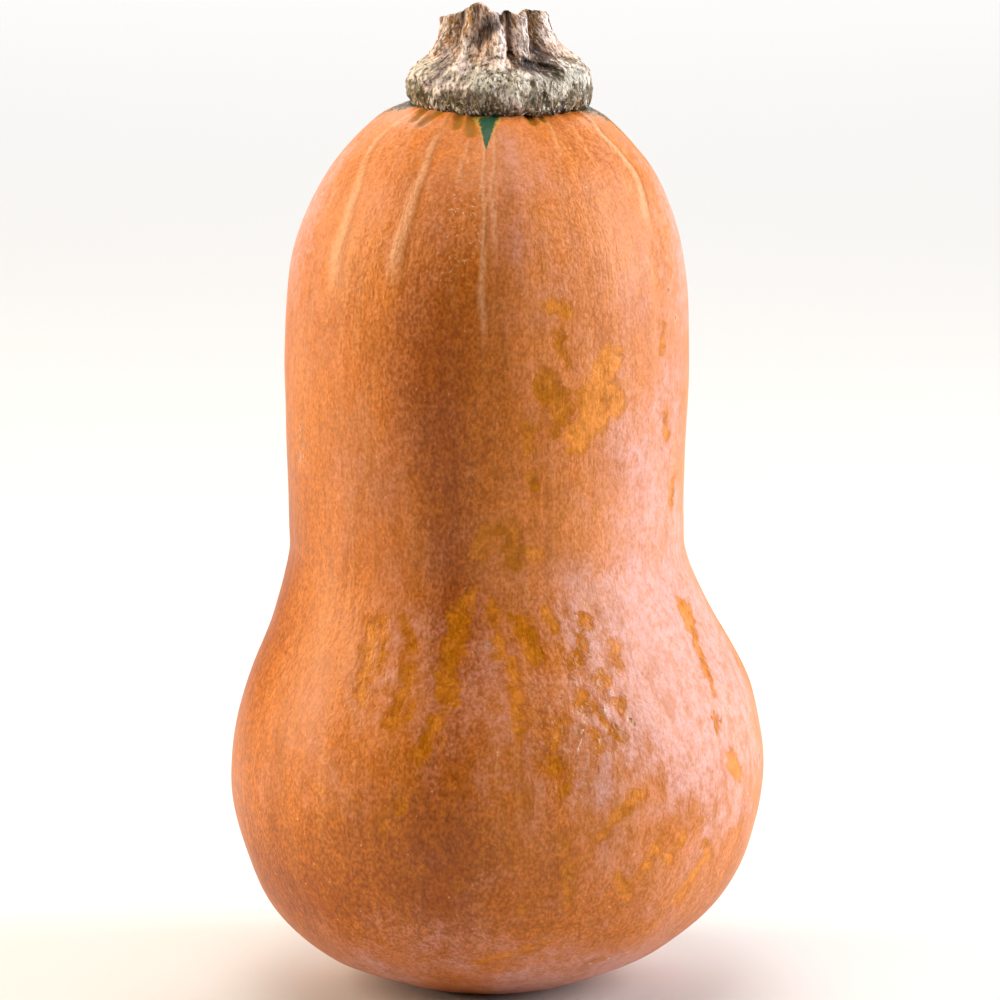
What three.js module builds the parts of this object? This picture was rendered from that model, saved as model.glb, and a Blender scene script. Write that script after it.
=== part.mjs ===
// A honeynut squash, a miniature butternut, standing on its blossom end with its cut stem on top.
// Millimetres, +Z up. The origin is on the resting face, at the centre of the squash's footprint, and -Y is the front.
//
// The squash has two pieces: the fruit, which grew as one solid, and the stem, the corky five-sided stalk that flares
// over the fruit's top and breaks or is cut off when the squash is picked.
import * as THREE from "three";

// ---------------------------------------------------------------------------------------------- driving dimensions
const BULB_WIDTH = 82; // the fruit's widest, low down round the seeds
const WAIST_WIDTH = 60.3; // the neck's narrowest, just above the bulb
const NECK_WIDTH = 61.2; // the neck's widest, below its domed top
const FRUIT_HEIGHT = 136.5; // resting face to the flat on top that the stem sits on
const FOOT_WIDTH = 20; // the flattened ring that the fruit stands on
const DIMPLE_WIDTH = 13; // the hollow inside that ring, round the blossom scar
const DIMPLE_DEPTH = 1.4;
const SCAR_WIDTH = 5; // the corky button that the blossom left
const SCAR_HEIGHT = 0.5;
const SEAT_WIDTH = 25; // the flat that the stem sits on

const FLARE_WIDTH = 28.4; // the stem's collar, at its widest
const STALK_WIDTH = 14.9; // the stem at its cut end
const STEM_HEIGHT = 14.2; // seat to the rim of the cut, halfway up its slope
const CUT_SLOPE = 1.3; // how far the rim rises at the front left and falls at the back right
const STEM_OFFSET = 0.7; // how far the collar stands to the right of the bulb's middle
const STEM_LEAN = -1.2; // how far the cut end stands to the left of the collar
const SEAT_GAP = 0.3; // fruit and stem are separate solids, this far apart
const STEM_RIBS = 5; // a squash stem is five-sided

// ------------------------------------------------------------------------------------------------------ resolution
const FRUIT_SECTORS = 52;
const FRUIT_OUTLINE_STEPS = 38;
const STEM_SECTORS = 60;
const STEM_OUTLINE_STEPS = 13;

const TAU = 2 * Math.PI;
const point = (radius, height) => new THREE.Vector2(radius, height);

// Rises smoothly from 0 at `from` to 1 at `to`.
const ramp = (value, from, to) => THREE.MathUtils.smoothstep(value, from, to);

// ----------------------------------------------------------------------------------------------------- fruit shape
// Half the fruit's outline, from the rim of its foot up the bulb, in at the waist, up the neck and over the dome.
function fruitOutline() {
  const bulb = BULB_WIDTH / 2;
  const waist = WAIST_WIDTH / 2;
  const neck = NECK_WIDTH / 2;
  const height = FRUIT_HEIGHT;
  return new THREE.SplineCurve([
    point(FOOT_WIDTH / 2, 0),
    point(0.405 * bulb, 0.012 * height),
    point(0.64 * bulb, 0.044 * height),
    point(0.84 * bulb, 0.098 * height),
    point(0.955 * bulb, 0.17 * height),
    point(bulb, 0.25 * height),
    point(0.95 * bulb, 0.335 * height),
    point(0.82 * bulb, 0.42 * height),
    point(waist + 0.3, 0.487 * height),
    point(waist, 0.54 * height),
    point(neck, 0.72 * height),
    point(0.965 * neck, 0.835 * height),
    point(0.81 * neck, 0.922 * height),
    point(0.58 * neck, 0.98 * height),
    point(SEAT_WIDTH / 2, height),
  ]).getPoints(FRUIT_OUTLINE_STEPS);
}

// The underside inside the foot: the blossom scar, the dimple round it, and the flat that rests on the floor.
function footOutline() {
  const scar = SCAR_WIDTH / 2;
  const dimple = DIMPLE_WIDTH / 2;
  return [
    point(0, DIMPLE_DEPTH - SCAR_HEIGHT),
    point(0.8 * scar, DIMPLE_DEPTH - SCAR_HEIGHT),
    point(scar, DIMPLE_DEPTH),
    point(0.75 * dimple, 0.55 * DIMPLE_DEPTH),
    point(dimple, 0),
  ];
}

// The fruit's middle wanders a little as it goes up: the foot and the neck stand left of the bulb.
const SPINE = [
  new THREE.Vector3(-1.6, 0.4, 0),
  new THREE.Vector3(-0.1, 0.1, 0.15 * FRUIT_HEIGHT),
  new THREE.Vector3(0, 0, 0.34 * FRUIT_HEIGHT),
  new THREE.Vector3(-1.8, 0.6, 0.53 * FRUIT_HEIGHT),
  new THREE.Vector3(-1.8, 0.9, 0.78 * FRUIT_HEIGHT),
  new THREE.Vector3(-0.75, 0.5, FRUIT_HEIGHT),
];

function spineAt(height) {
  const above = SPINE.findIndex((knot, i) => i > 0 && height <= knot.z);
  const to = SPINE[above < 0 ? SPINE.length - 1 : above];
  const from = SPINE[SPINE.indexOf(to) - 1];
  return from.clone().lerp(to, ramp(height, from.z, to.z));
}

// How far the fruit swells past its round outline in one direction, as a share of the radius.
function fruitSwell(angle, height) {
  const dome = ramp(height / FRUIT_HEIGHT, 0.7, 0.95);
  const bulb = 1 - ramp(height / FRUIT_HEIGHT, 0.25, 0.5);
  const oval = 0.006 * Math.cos(2 * (angle - 0.5));
  const threeSided = 0.004 * Math.cos(3 * (angle + 0.4));
  const shoulders = 0.011 * dome * Math.cos(5 * (angle + TAU / 4));
  const seedRidges = 0.004 * bulb * Math.cos(10 * (angle + TAU / 4));
  return oval + threeSided + shoulders + seedRidges;
}

// Turns a lathed solid into a grown one: moves each vertex by reshape(vertex, angle round the axis).
function grow(geometry, reshape) {
  const position = geometry.getAttribute("position");
  const vertex = new THREE.Vector3();
  for (let i = 0; i < position.count; i += 1) {
    vertex.fromBufferAttribute(position, i);
    reshape(vertex, Math.atan2(vertex.y, vertex.x));
    position.setXYZ(i, vertex.x, vertex.y, vertex.z);
  }
  geometry.computeVertexNormals();
  return geometry;
}

// LatheGeometry turns its outline about Y; this stands that axis up along Z.
function lathe(outline, sectors) {
  return new THREE.LatheGeometry(outline, sectors).rotateX(Math.PI / 2);
}

function makeFruit() {
  const seat = [point(SEAT_WIDTH / 4, FRUIT_HEIGHT), point(0, FRUIT_HEIGHT)];
  const outline = [...footOutline(), ...fruitOutline(), ...seat];
  const geometry = grow(lathe(outline, FRUIT_SECTORS), (vertex, angle) => {
    const swell = 1 + fruitSwell(angle, vertex.z);
    const middle = spineAt(vertex.z);
    vertex.x = vertex.x * swell + middle.x;
    vertex.y = vertex.y * swell + middle.y;
  });
  const rind = new THREE.MeshStandardMaterial({ color: 0xd98648, roughness: 0.45, metalness: 0 });
  const fruit = new THREE.Mesh(geometry, rind);
  fruit.name = "fruit";
  return fruit;
}

// ------------------------------------------------------------------------------------------------------ stem shape
// Half the stem's outline, from the seat out round the corky collar and up the stalk to the rim of the cut.
function stemOutline() {
  const flare = FLARE_WIDTH / 2;
  const stalk = STALK_WIDTH / 2;
  return new THREE.SplineCurve([
    point(0.95 * flare, 0),
    point(flare, 0.17 * STEM_HEIGHT),
    point(0.95 * flare, 0.36 * STEM_HEIGHT),
    point(0.78 * flare, 0.52 * STEM_HEIGHT),
    point(1.12 * stalk, 0.68 * STEM_HEIGHT),
    point(stalk, STEM_HEIGHT),
  ]).getPoints(STEM_OUTLINE_STEPS);
}

// The stalk's five ribs, sharp on the stalk and spreading into the broad lobes of the collar.
function stemSwell(angle, height) {
  const climb = ramp(height / STEM_HEIGHT, 0.1, 0.75);
  const twist = 0.25 * climb;
  const rib = Math.cos(STEM_RIBS * (angle - twist + TAU / 4 + 0.3));
  const sharpRib = 0.5 * (rib + rib * Math.abs(rib));
  return (0.028 + 0.085 * climb) * sharpRib;
}

// The cut slopes back from its highest point, at the front left, and its rim is uneven.
function cutRise(angle) {
  const fromPeak = angle + 0.6 * Math.PI;
  return CUT_SLOPE * Math.cos(fromPeak) + 0.25 * Math.cos(3 * fromPeak);
}

function makeStem() {
  const stalk = STALK_WIDTH / 2;
  const cut = [
    point(0.72 * stalk, 0.985 * STEM_HEIGHT),
    point(0.4 * stalk, 0.93 * STEM_HEIGHT),
    point(0, 0.9 * STEM_HEIGHT),
  ];
  const outline = [point(0, 0), point(FLARE_WIDTH / 4, 0), ...stemOutline(), ...cut];
  const geometry = grow(lathe(outline, STEM_SECTORS), (vertex, angle) => {
    const climb = ramp(vertex.z / STEM_HEIGHT, 0.4, 1);
    const edge = Math.min(1, Math.hypot(vertex.x, vertex.y) / stalk);
    const swell = 1 + stemSwell(angle, vertex.z);
    vertex.x = vertex.x * swell + STEM_LEAN * climb;
    vertex.y *= swell;
    vertex.z += climb * edge * cutRise(angle);
  });
  const cork = new THREE.MeshStandardMaterial({ color: 0x9c8468, roughness: 0.9, metalness: 0 });
  const stem = new THREE.Mesh(geometry, cork);
  stem.name = "stem";
  stem.position.set(STEM_OFFSET, spineAt(FRUIT_HEIGHT).y, FRUIT_HEIGHT + SEAT_GAP);
  return stem;
}

// -------------------------------------------------------------------------------------------------------- assembly
const squash = new THREE.Group();
squash.add(makeFruit(), makeStem());

// Centre the footprint on the origin.
const middle = new THREE.Box3().setFromObject(squash).getCenter(new THREE.Vector3());
squash.position.set(-middle.x, -middle.y, 0);

export default squash;
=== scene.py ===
"""A honeynut squash, a miniature butternut, standing on its blossom end with its dry corky stem on top.

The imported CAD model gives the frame: the fruit and the stem each fill their CAD node's box. Both are made
here as fine meshes, with the veins, folds, rubbed patches and cracks that the CAD leaves out.

Shapes are worked out in millimetres and turned into metres when a mesh is made. A place on the squash is an
azimuth in degrees, 0 at the front and 90 at the right-hand side, and a height above the floor.
"""

import math

import bpy
import numpy as np
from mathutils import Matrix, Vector, noise


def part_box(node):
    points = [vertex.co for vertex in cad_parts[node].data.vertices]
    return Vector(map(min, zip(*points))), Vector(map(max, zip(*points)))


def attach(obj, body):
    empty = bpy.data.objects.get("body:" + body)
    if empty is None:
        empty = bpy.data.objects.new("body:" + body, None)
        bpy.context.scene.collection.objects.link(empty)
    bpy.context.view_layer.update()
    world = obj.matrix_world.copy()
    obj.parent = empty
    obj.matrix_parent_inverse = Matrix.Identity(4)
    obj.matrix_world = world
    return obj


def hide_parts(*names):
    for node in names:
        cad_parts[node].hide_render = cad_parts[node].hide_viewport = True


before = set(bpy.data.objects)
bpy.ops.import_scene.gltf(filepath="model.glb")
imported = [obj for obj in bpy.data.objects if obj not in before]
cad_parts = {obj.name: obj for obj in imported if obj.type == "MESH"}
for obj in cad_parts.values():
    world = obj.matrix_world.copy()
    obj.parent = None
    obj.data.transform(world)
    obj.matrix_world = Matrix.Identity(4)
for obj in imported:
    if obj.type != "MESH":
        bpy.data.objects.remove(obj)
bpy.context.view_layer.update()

MM = 0.001
FRUIT_LOW, FRUIT_HIGH = (np.array(corner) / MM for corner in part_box("fruit"))
STEM_LOW, STEM_HIGH = (np.array(corner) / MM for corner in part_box("stem"))
BULB = (FRUIT_HIGH[0] - FRUIT_LOW[0]) / 2  # the fruit's largest radius
FRUIT_HEIGHT = FRUIT_HIGH[2] - FRUIT_LOW[2]
FLARE = (STEM_HIGH[0] - STEM_LOW[0]) / 2  # the stem collar's radius
STALK = 0.525 * FLARE  # the radius of the stem at its cut end
STEM_HEIGHT = STEM_HIGH[2] - STEM_LOW[2]
UNDER_THE_STEM = 1  # how much of the shoulder the collar covers, beyond the seat

FRUIT_COLUMNS = 420
FRUIT_ROWS = 228
STEM_COLUMNS = 500
STEM_ROWS = 190
SEED = 11


# ------------ small helpers
def smoothstep(value, start, end):
    share = np.clip((value - start) / (end - start), 0, 1)
    return share * share * (3 - 2 * share)


def bump(distance, half_width):
    """A smooth hump: 1 where the distance is nought, fading to nothing a little past the half width."""
    return np.exp(-((distance / half_width) ** 2))


def turn(azimuth, middle):
    """How far an azimuth in radians is from another in degrees, in radians, the short way round."""
    return (azimuth - np.radians(middle) + math.pi) % (2 * math.pi) - math.pi


def curve_through(knots, steps):
    """A smooth line through (radius, height) knots, with so many steps between each two."""
    knots = np.array(knots)
    ends = np.vstack([2 * knots[0] - knots[1], knots, 2 * knots[-1] - knots[-2]])
    share = np.linspace(0, 1, steps, endpoint=False)[:, None]
    pieces = []
    for before, start, end, after in zip(ends, ends[1:], ends[2:], ends[3:]):
        slope_in = (end - before) / 2
        slope_out = (after - start) / 2
        rise = end - start
        cubic = slope_in + slope_out - 2 * rise
        square = 3 * rise - 2 * slope_in - slope_out
        pieces.append(start + share * (slope_in + share * (square + share * cubic)))
    return np.vstack([*pieces, knots[-1:]])


def stack(*parts):
    """Arrays side by side along a new last axis, each one first spread over the shape that they share."""
    return np.stack(np.broadcast_arrays(*parts), axis=-1)


def length_along(line, density=1):
    """How far along a line each of its points is, with each of its steps counted density times."""
    steps = np.hypot(*np.diff(line, axis=0).T)
    return np.concatenate([[0], np.cumsum(steps * density)])


def spread(line, count, density):
    """That line again with so many points, closer together where density of the place is more."""
    reached = length_along(line, density((line[1:] + line[:-1]) / 2))
    wanted = np.linspace(0, reached[-1], count)
    return stack(*(np.interp(wanted, reached, column) for column in line.T))


def noise_at(points, size, octaves=1, ridged=False):
    """Smooth noise from about -1 to 1 at each point of a grid, with lumps of that size in millimetres."""
    flat = points.reshape(-1, 3) / size
    if ridged:
        values = [noise.ridged_multi_fractal(p, 1, 2.1, octaves, 1, 2) - 1.2 for p in flat]
    elif octaves > 1:
        values = [noise.fractal(p, 0.8, 2.1, octaves) for p in flat]
    else:
        values = [noise.noise(p) for p in flat]
    return np.array(values).reshape(points.shape[:-1])


def fill_sideways(points, low, high):
    """Stretches points a little so that they just fill a box from side to side and from front to back."""
    for axis in (0, 1):
        least = points[..., axis].min()
        most = points[..., axis].max()
        share = (points[..., axis] - least) / (most - least)
        points[..., axis] = low[axis] + share * (high[axis] - low[axis])


def with_poles(grid):
    """A grid's values in one row, then the means of its first and of its last row."""
    return np.concatenate([grid.reshape(-1, *grid.shape[2:]), grid[:1].mean(1), grid[-1:].mean(1)])


def grid_mesh(name, points, climb, fields):
    """A closed mesh from a grid of points, whose rows run round it and whose ends each close to a point.

    climb is how far along the outline each row is, for the mesh's map. fields holds the point attributes by
    name, a number or a vector of three at each point.
    """
    rows, columns = points.shape[:2]
    corner = np.arange(rows * columns).reshape(rows, columns)
    beside = np.roll(corner, -1, axis=1)
    quads = stack(corner[:-1], beside[:-1], beside[1:], corner[1:]).reshape(-1, 4)
    base_fan = stack(corner.size, beside[0], corner[0])
    top_fan = stack(corner.size + 1, corner[-1], beside[-1])
    mesh = bpy.data.meshes.new(name)
    faces = [*quads.tolist(), *base_fan.tolist(), *top_fan.tolist()]
    mesh.from_pydata((with_poles(points) * MM).tolist(), [], faces)

    left = np.arange(columns) / columns
    right = left + 1 / columns
    middle = (left + right) / 2
    low, high = climb[:-1, None] / climb[-1], climb[1:, None] / climb[-1]
    maps = [
        stack(left, low, right, low, right, high, left, high),
        stack(middle, 0, right, 0, left, 0),
        stack(middle, 1, left, 1, right, 1),
    ]
    layer = mesh.uv_layers.new(name="OFBake")
    layer.uv.foreach_set("vector", np.concatenate([part.ravel() for part in maps]))

    for field, value in fields.items():
        kind, key, size = ("FLOAT_VECTOR", "vector", [3]) if np.ndim(value) == 3 else ("FLOAT", "value", [])
        whole = with_poles(np.broadcast_to(value, (rows, columns, *size)))
        attribute = mesh.attributes.new(field, kind, "POINT")
        attribute.data.foreach_set(key, whole.astype(np.float32).ravel())
    mesh.shade_smooth()
    mesh.update()
    piece = bpy.data.objects.new(name, mesh)
    bpy.context.scene.collection.objects.link(piece)
    return piece


# ------------ the fruit's form
def fruit_outline():
    """From the middle of the blossom scar underneath to the middle of the seat under the stem."""
    waist, neck = 0.735, 0.746  # shares of the bulb's radius, as the radii below are
    knots = [
        (0.244, 0), (0.405, 0.012), (0.64, 0.044), (0.84, 0.098), (0.955, 0.17), (1, 0.25), (0.95, 0.335),
        (0.82, 0.42), (1.01 * waist, 0.487), (waist, 0.54), (neck, 0.72), (0.965 * neck, 0.835),
        (0.81 * neck, 0.922), (0.58 * neck, 0.98), (0.408 * neck, 1),
    ]
    body = curve_through(knots, 30) * (BULB, FRUIT_HEIGHT)
    dimple = [(0.2, 1.1), (1.8, 1.2), (2.7, 1.5), (4.2, 1.15), (6.2, 0.25), (8, 0)]
    foot = curve_through([*dimple, body[0]], 12)
    seat = [(0.2 * neck * BULB, FRUIT_HEIGHT), (0.2, FRUIT_HEIGHT)]

    def closer_at_the_ends(places):
        shoulder = smoothstep(places[:, 1], 0.8 * FRUIT_HEIGHT, 0.95 * FRUIT_HEIGHT)
        hidden = places[:, 0] < 0.35 * neck * BULB
        underneath = smoothstep(places[:, 0], 0.3 * BULB, 0.15 * BULB)
        return np.where(hidden & (shoulder > 0.5), 0.2, 1 + 0.7 * shoulder + 0.9 * underneath)

    return spread(np.vstack([foot[:-1], body, seat]), FRUIT_ROWS, closer_at_the_ends)


def fruit_middle(height):
    """The fruit's middle wanders a little as it goes up: the foot and the neck stand left of the bulb."""
    low = [(-1.6, 0.4, 0), (-0.1, 0.1, 0.15), (0, 0, 0.34)]
    high = [(-1.8, 0.6, 0.53), (-1.8, 0.9, 0.78), (-0.75, 0.5, 1)]
    knots = np.array(low + high)
    middle = np.zeros((len(height), 2))
    for start, end in zip(knots, knots[1:]):
        share = smoothstep(height / FRUIT_HEIGHT, start[2], end[2])[:, None]
        middle += share * (end[:2] - start[:2])
    return middle + knots[0, :2]


class Skin:
    """A grown surface: an outline turned round its middle, as a grid of azimuths, radii and heights.

    path is how far along the outline each row is, and outside is the slice of rows that are seen. A stroke
    of the brush is two places, each an azimuth and a height, and a half width in millimetres. A stroke's
    heights are given in units of that many millimetres.
    """

    def __init__(self, outline, columns, outside, unit=1):
        self.outline = outline
        self.climb = length_along(outline)
        self.azimuth = np.linspace(-math.pi, math.pi, columns, endpoint=False)[None, :]
        self.radius = outline[:, :1]
        self.height = outline[:, 1:]
        self.path = self.climb[:, None]
        self.outside = outside
        self.unit = unit

    def climb_to(self, height):
        return np.interp(height, self.outline[self.outside, 1], self.climb[self.outside])

    def places(self, radius, height):
        """The places that far out from the axis and that high, in every direction."""
        return stack(radius * np.sin(self.azimuth), -radius * np.cos(self.azimuth), height)

    def grain(self, radius):
        """Places that run evenly along the outline, for fibres and streaks that follow it."""
        return self.places(radius, self.path)

    def inside_stroke(self, azimuth, height, end_azimuth, end_height, half_width):
        """How far inside a brush stroke each point is, in millimetres, less than nought outside it."""
        middle = (azimuth + end_azimuth) / 2
        heights = np.array([height, end_height]) * self.unit
        radius = np.interp(heights, self.outline[self.outside, 1], self.outline[self.outside, 0])
        from_x, to_x = radius * np.radians([azimuth - middle, end_azimuth - middle])
        from_y, to_y = self.climb_to(heights)
        along = np.array([to_x - from_x, to_y - from_y])
        dx = self.radius * turn(self.azimuth, middle) - from_x
        dy = self.path - from_y
        share = np.clip((dx * along[0] + dy * along[1]) / max(along @ along, 1e-9), 0, 1)
        return half_width - np.hypot(dx - share * along[0], dy - share * along[1])

    def nearest_stroke(self, strokes):
        return np.clip(np.maximum.reduce([self.inside_stroke(*stroke) for stroke in strokes]), -4, 4)

    def line(self, places):
        """The azimuth at each row of a line through these places, and how far along it that is, 0 to 1."""
        places = sorted(places, key=lambda place: place[1])
        azimuths, heights = np.array(places, float).T
        azimuth = np.interp(self.height, heights, azimuths)
        share = np.clip((self.height - heights[0]) / (heights[-1] - heights[0]), -0.2, 1.2)
        return azimuth, share

    def beside(self, azimuth):
        """How far each point is from a line of azimuths, in millimetres, less than nought on its left."""
        return self.radius * turn(self.azimuth, azimuth)

    def around(self, knots):
        """A value that goes round with the azimuth, from its values at some azimuths in degrees."""
        azimuths, values = np.array(knots, float).T
        return np.interp(np.degrees(self.azimuth), azimuths, values, period=360)


# Veins run down the shoulder from the stem. Each is the places that it passes, its half width, how far it
# stands proud and how pale it is, from 0 to 1. The first ten are the ones at the front.
VEINS = (
    ([(-3.6, 136), (-3, 130), (-1.2, 114), (-0.4, 104)], 0.4, 0.18, 1),
    ([(0.2, 133), (0.4, 128), (2.2, 118)], 0.35, 0.14, 0.8),
    ([(-27.5, 132), (-27.3, 123), (-29, 112)], 1, 0.18, 0.9),
    ([(-60, 132), (-53, 126), (-49.5, 110)], 1.1, 0.12, 0.8),
    ([(-12, 133), (-12, 127)], 0.4, 0.12, 0.6),
    ([(67, 136.3), (60, 133), (63, 127.5), (59, 119)], 0.8, 0.24, 1),
    ([(33, 135.5), (30, 131)], 0.4, 0.14, 0.5),
    ([(-58, 136.4), (-57, 133.6)], 0.5, 0.14, 0.9),
    ([(-46, 136.4), (-42, 134)], 0.4, 0.14, 0.7),
    ([(-30, 136.4), (-27, 134.4)], 0.4, 0.14, 0.6),
    ([(-97, 134), (-94, 110)], 0.7, 0.18, 0.7),
    ([(-131, 135), (-134, 117)], 0.6, 0.18, 0.6),
    ([(-168, 135), (-165, 106)], 0.8, 0.2, 0.9),
    ([(157, 134), (159, 119)], 0.5, 0.15, 0.6),
    ([(126, 135), (124, 112)], 0.7, 0.2, 0.8),
    ([(96, 134), (98, 121)], 0.5, 0.15, 0.6),
)


def vein_fields(skin):
    """How proud the veins stand in millimetres, and how pale and how deep in painted shade each point is,
    from 0 to 1.
    """
    proud = pale = dark = 0
    for number, (places, half_width, rise, paleness) in enumerate(VEINS):
        azimuth, share = skin.line(places)
        wander = 0.5 * np.sin(skin.path / 3.1 + 2 * number) + 0.3 * np.sin(skin.path / 1.3 + number)
        side = skin.beside(azimuth) + 0.35 * wander
        taper = smoothstep(share, -0.05, 0.25) * smoothstep(share, 1.15, 1)
        half_width = half_width * (1.35 - 0.85 * np.clip(share, 0, 1))
        across = bump(side**2, half_width**2) * taper
        proud = np.maximum(proud, 0.5 * rise * across)
        pale = np.maximum(pale, paleness * across)
        # Beside each vein a groove is sunk and given painted shade.
        groove = bump(side - 1.35 * half_width, 0.4 * half_width) * taper
        proud -= 0.5 * rise * groove
        dark = np.maximum(dark, paleness * groove)
    return proud, pale, dark


# Where the waxy bloom is rubbed off, the rind shows honey-orange or ochre. Each is a stroke, and how deep
# its colour is, from 0 for honey to 1 for dark ochre.
RUBBED = (
    # the neck, right of the front
    (21.5, 105.8, 21.7, 103.8, 0.75, 1), (23, 102.6, 23.5, 101.2, 0.55, 1), (17, 98.2, 18, 96.8, 2, 1),
    (20.5, 96.4, 22.5, 94, 1.8, 1), (21, 93, 20, 90.8, 0.6, 0.9), (12, 91.6, 12.5, 88.8, 0.9, 0.6),
    (13, 84.6, 13.8, 83, 0.8, 0.75), (38, 101.5, 34.5, 98.2, 2, 0.3), (31, 95.5, 39.5, 94.5, 2.3, 0.35),
    (27, 89.8, 33, 92, 2.2, 0.35), (24, 109, 19, 110, 1, 0.15), (61, 104.8, 60, 101, 0.6, 0.7),
    (62, 91, 64.5, 87.5, 0.7, 0.7), (70, 81, 68, 77, 0.7, 0.5),
    # the waist
    (-2.5, 73, 0, 76.2, 1.2, 0.45), (3.5, 76.6, 7.5, 76.2, 1.1, 0.6), (7.6, 75.8, 8, 71.5, 1.4, 0.8),
    (14, 73, 15, 72, 1, 0.3),
    # the bulb, left of the front
    (-33, 61, -33, 51, 1.1, 0.6), (-29.5, 62, -29.5, 55, 0.9, 0.5), (-23.5, 62.5, -20.5, 58.2, 0.8, 0.7),
    (-21.5, 56, -21.8, 54, 0.9, 0.95), (-22, 53, -24.5, 47.8, 0.9, 0.8),
    (-20.6, 50.2, -20.8, 49, 0.8, 0.8), (-3.5, 67.5, -7.5, 63.5, 0.5, 0.6),
    (-8, 63.5, -9.5, 60, 1.7, 0.95), (-10, 60, -12, 54, 1.4, 1), (-11.3, 54.5, -11.5, 52.6, 1.9, 0.95),
    (-14, 49, -17.5, 43, 0.9, 0.85), (-21, 36.4, -21, 35.8, 0.9, 0.6), (-24.3, 33, -24.5, 32.2, 0.9, 0.8),
    # the bulb, at the front and right of it
    (1.5, 65, 2, 58, 0.7, 0.45), (8.8, 63, 10.8, 58, 1.4, 0.95), (5, 57, 4.5, 47, 0.8, 0.45),
    (16, 64, 17.5, 61.5, 0.8, 0.5), (26.8, 62.4, 26.9, 62.1, 1.3, 0.75), (24.6, 60.4, 24, 58.6, 0.7, 0.8),
    (22.5, 57.4, 22.6, 56.2, 0.8, 0.8), (33.2, 58.6, 32.8, 56, 0.9, 0.6), (27.9, 54, 27.8, 53.5, 1, 0.7),
    (21, 51.5, 19, 50.5, 1, 0.5), (29.8, 50.2, 29.7, 49.9, 1.2, 0.85), (23.8, 50, 26, 47.6, 0.7, 0.8),
    (27, 46.6, 28.6, 45.6, 0.8, 0.95), (21.5, 47, 23, 44.5, 0.7, 0.7), (15, 48.5, 12.5, 45, 0.7, 0.6),
    (12.7, 42.8, 12.7, 41.6, 1.2, 1), (14.5, 38.8, 14, 38.2, 0.8, 0.9), (31.5, 37.6, 26.5, 34.6, 0.8, 0.6),
    (26.5, 34.6, 22.5, 31.4, 1, 0.7), (66.4, 61, 65, 59.4, 1.7, 0.45), (65, 59.4, 64.4, 57.4, 0.4, 0.6),
    (64.4, 57, 62.2, 52, 0.9, 0.6), (62.2, 52, 60.6, 49.4, 0.3, 0.6), (58.2, 46, 57.8, 44.6, 0.8, 0.9),
    (61, 39, 62.5, 37, 1.5, 0.35), (44, 30, 40, 26, 0.7, 0.4), (14, 32, 14.5, 29, 0.7, 0.5),
    (15.5, 26.5, 16.2, 20, 0.7, 0.6), (27, 25, 31, 21, 0.8, 0.5), (36, 29, 34, 25, 0.7, 0.5),
    (51, 27.5, 55, 25, 0.7, 0.45), (-5, 10, 12, 13.5, 0.6, 0.5), (6, 20.5, 6.1, 19.8, 0.7, 0.6),
    (52, 24, 47, 19, 1.2, 0.4),
)

# Strokes of small corky scars.
SCARS = (
    (31.3, 48.6, 32.4, 47.2, 0.32), (28.6, 46.2, 29.4, 45.6, 0.22), (47.3, 47.7, 47.4, 47.5, 0.16),
    (79, 37.6, 79, 35.4, 0.3), (-1.2, 59.6, -1.2, 59, 0.18), (68.6, 105.3, 68.7, 105.1, 0.3),
    (64.5, 109.9, 64.6, 109.7, 0.4), (60.5, 112.5, 60.6, 112.4, 0.2), (65.6, 114.5, 65.7, 114.3, 0.2),
    (68, 49.5, 68.3, 48.6, 0.16), (-64.5, 89.5, -65, 89, 0.2), (-65.5, 88, -66, 87.4, 0.25),
    (-63.5, 86.2, -64, 85.8, 0.2), (-66, 84.6, -66.5, 83.8, 0.3), (-63.5, 83.4, -64.5, 83.2, 0.2),
)

# Thin raised edges, pale where the rind has healed over.
HEALED = (
    (52.8, 46.4, 52.6, 44.8, 0.16), (52.6, 44.8, 51, 42.9, 0.16), (25, 51.2, 26.2, 48.6, 0.2),
    (30.8, 48.4, 31.6, 47, 0.25), (32.6, 46.4, 33.6, 44.8, 0.16), (28, 52.2, 29.2, 51.8, 0.16),
    (23, 45.8, 22.4, 43.2, 0.12), (19.8, 47.4, 17.4, 43.6, 0.12), (66, 33.6, 70, 31.4, 0.12),
    (70, 31.4, 70.5, 29.8, 0.12), (30, 8.6, 44, 10.2, 0.16), (-65, 84.6, -65.5, 84.2, 0.3),
    (-63.5, 84.8, -63.6, 84.4, 0.2),
)

# Ochre creases under the stem.
CREASES = (
    (-53, 136.4, -48, 135.2, 0.5), (-38, 136.4, -39.5, 134.8, 0.55), (-22, 136.3, -19, 135, 0.6),
    (-13.5, 136, -11, 134.2, 0.7), (25, 136.4, 24, 135.4, 0.6), (31, 136.4, 32, 135.6, 0.4),
    (95, 136.4, 92, 134, 0.6), (118, 136.4, 121, 134.5, 0.7), (160, 136.4, 158, 134, 0.6),
    (-165, 136.4, -163, 134.6, 0.7), (-128, 136.4, -126, 134.2, 0.6), (-100, 136.4, -101, 134.6, 0.5),
)

# How far out from under the stem the rind is green, near black with painted shade next to the collar, in
# millimetres, by azimuth.
GREEN_REACH = (
    (-150, 1.6), (-118, 3.2), (-92, 7), (-72, 3.5), (-58, 0.7), (-35, 0.7), (-18, 1.5), (-4, 2.4),
    (8, 1.4), (25, 0.7), (58, 0.6), (72, 4.5), (92, 11), (115, 3), (150, 1.2), (178, 3.4),
)


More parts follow.
